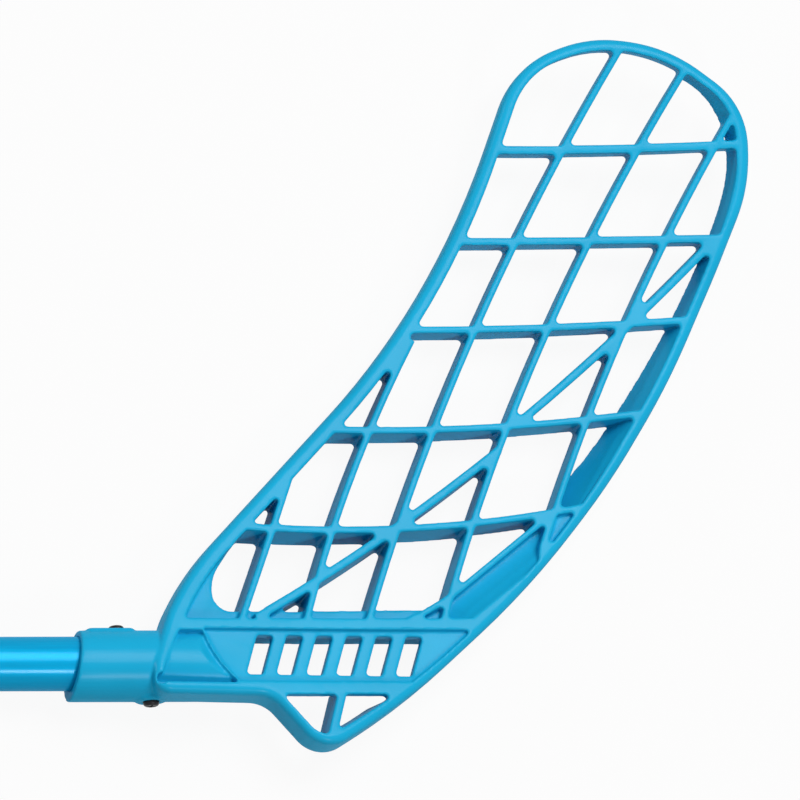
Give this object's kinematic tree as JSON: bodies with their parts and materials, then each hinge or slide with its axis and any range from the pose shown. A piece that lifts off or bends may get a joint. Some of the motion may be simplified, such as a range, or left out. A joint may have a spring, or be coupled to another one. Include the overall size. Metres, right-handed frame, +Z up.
{
  "type": "floorball stick",
  "caption": "Floorball stick: a hooked open-cage plastic blade screwed onto a tapered tubular shaft with a wound grip and a butt cap.",
  "frame": {"origin": "centre of the flat face of the butt cap, on the axis of the shaft", "axes": "+X along the shaft to the blade, +Y across to the toe side of the blade, +Z up out of the blade's concave face with the stick lying flat"},
  "size_m": [1.1884, 0.2692, 0.0325],
  "materials": {
    "blade_plastic": "satin moulded, sky blue",
    "shaft_lacquer": "gloss lacquer over a composite tube, blue",
    "screw_black": "black oxide",
    "cap_rubber": "matt black",
    "grip_foam": "matt black, perforated",
    "band_rubber": "matt black"
  },
  "bodies": {
    "root": {"blade": "blade_plastic", "shaft": "shaft_lacquer", "upper_blade_screw": "screw_black", "lower_blade_screw": "screw_black", "end_cap": "cap_rubber", "grip_tape": "grip_foam", "grip_band": "band_rubber"}
  },
  "joints": []
}
